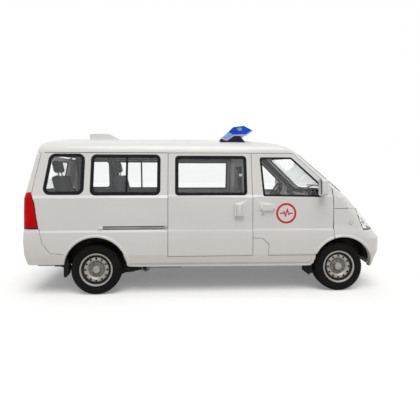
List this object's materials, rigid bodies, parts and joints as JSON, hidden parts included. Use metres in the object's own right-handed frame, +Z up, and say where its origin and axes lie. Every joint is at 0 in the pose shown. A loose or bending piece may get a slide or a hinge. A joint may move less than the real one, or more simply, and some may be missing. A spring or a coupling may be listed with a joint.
{
  "type": "ambulance",
  "caption": "Long high-roofed micro-van ambulance with hinged front doors, lifting tailgate and hood, steered front wheels, roof light bar, glazed sides and an open patient compartment.",
  "frame": {"origin": "on the ground, at the middle of the length and width", "axes": "+X forward, +Y to the vehicle's left, +Z up"},
  "size_m": [4.5094, 1.9, 2.063],
  "materials": {
    "white_paint": "gloss",
    "glass": "clear",
    "black_plastic": "satin",
    "grey_plastic": "satin",
    "rubber_black": "matte",
    "tyre_black": "matte",
    "wheel_silver": "satin",
    "lamp_clear": "clear",
    "lamp_red": "gloss",
    "lens_blue": "gloss",
    "base_navy": "gloss",
    "seat_cloth": "woven",
    "chassis_black": "satin",
    "cast_grey": "rough",
    "steel": "satin"
  },
  "bodies": {
    "body": {"floor_pan": "chassis_black", "chassis_frame": "chassis_black", "inner_skin": "white_paint", "side_panels": "white_paint", "sliding_doors": "white_paint", "sills": "white_paint", "fenders": "white_paint", "windscreen_frame": "white_paint", "roof_panel": "white_paint", "front_bumper": "white_paint", "rear_bumper": "white_paint", "nose_panel": "white_paint", "grille": "black_plastic", "windscreen": "glass", "side_windows": "glass", "headlamps": "lamp_clear", "tail_lamps": "lamp_red", "light_bar_base": "base_navy", "light_bar_lens": "lens_blue", "roof_vent": "white_paint", "mud_flaps": "rubber_black", "wheelhouses": "chassis_black", "dashboard": "grey_plastic", "steering_wheel": "black_plastic", "front_seats": "seat_cloth", "rear_seats": "seat_cloth", "seat_plinth": "grey_plastic", "partition": "grey_plastic", "engine_block": "cast_grey", "drive_line": "cast_grey", "exhaust": "steel", "fuel_tank": "chassis_black", "spare_wheel": "tyre_black", "rear_axle": "cast_grey", "leaf_springs": "chassis_black", "front_suspension": "chassis_black", "radiator": "black_plastic", "hinge_pins": "steel"},
    "front_door_left": {"front_door_left": "white_paint", "front_door_glass_left": "glass", "door_mirror_left": "white_paint"},
    "front_door_right": {"front_door_right": "white_paint", "front_door_glass_right": "glass", "door_mirror_right": "white_paint"},
    "tailgate": {"tailgate": "white_paint", "tailgate_glass": "glass"},
    "hood": {"hood": "white_paint"},
    "knuckle_left": {"knuckle_left": "cast_grey"},
    "knuckle_right": {"knuckle_right": "cast_grey"},
    "wheel_front_left": {"rim_front_left": "wheel_silver", "tyre_front_left": "tyre_black"},
    "wheel_front_right": {"rim_front_right": "wheel_silver", "tyre_front_right": "tyre_black"},
    "wheel_rear_left": {"rim_rear_left": "wheel_silver", "tyre_rear_left": "tyre_black"},
    "wheel_rear_right": {"rim_rear_right": "wheel_silver", "tyre_rear_right": "tyre_black"}
  },
  "joints": [
    {"name": "front_door_left_hinge", "type": "hinge", "parent": "body", "child": "front_door_left", "pos_m": [1.588, 0.806, 0.95], "axis": [0, 0, -1], "range_deg": [0, 60]},
    {"name": "front_door_right_hinge", "type": "hinge", "parent": "body", "child": "front_door_right", "pos_m": [1.588, -0.806, 0.95], "axis": [0, 0, 1], "range_deg": [0, 60]},
    {"name": "tailgate_hinge", "type": "hinge", "parent": "body", "child": "tailgate", "pos_m": [-2.083, 0, 1.759], "axis": [0, 1, 0], "range_deg": [0, 80]},
    {"name": "hood_hinge", "type": "hinge", "parent": "body", "child": "hood", "pos_m": [1.699, 0, 1.158], "axis": [0, -1, 0], "range_deg": [0, 50]},
    {"name": "steer_left", "type": "hinge", "parent": "body", "child": "knuckle_left", "pos_m": [1.61, 0.66, 0.19], "axis": [0, -0.2084, 0.978], "range_deg": [-32, 32]},
    {"name": "steer_right", "type": "hinge", "parent": "body", "child": "knuckle_right", "pos_m": [1.61, -0.66, 0.19], "axis": [0, 0.2084, 0.978], "range_deg": [-32, 32]},
    {"name": "wheel_front_left_spin", "type": "hinge", "parent": "knuckle_left", "child": "wheel_front_left", "pos_m": [1.61, 0.717, 0.3], "axis": [0, 1, 0], "continuous": true},
    {"name": "wheel_front_right_spin", "type": "hinge", "parent": "knuckle_right", "child": "wheel_front_right", "pos_m": [1.61, -0.717, 0.3], "axis": [0, 1, 0], "continuous": true},
    {"name": "wheel_rear_left_spin", "type": "hinge", "parent": "body", "child": "wheel_rear_left", "pos_m": [-1.35, 0.717, 0.3], "axis": [0, 1, 0], "continuous": true},
    {"name": "wheel_rear_right_spin", "type": "hinge", "parent": "body", "child": "wheel_rear_right", "pos_m": [-1.35, -0.717, 0.3], "axis": [0, 1, 0], "continuous": true}
  ],
  "couplings": [
    {"joint": "steer_right", "follows": "steer_left", "ratio": 1}
  ]
}
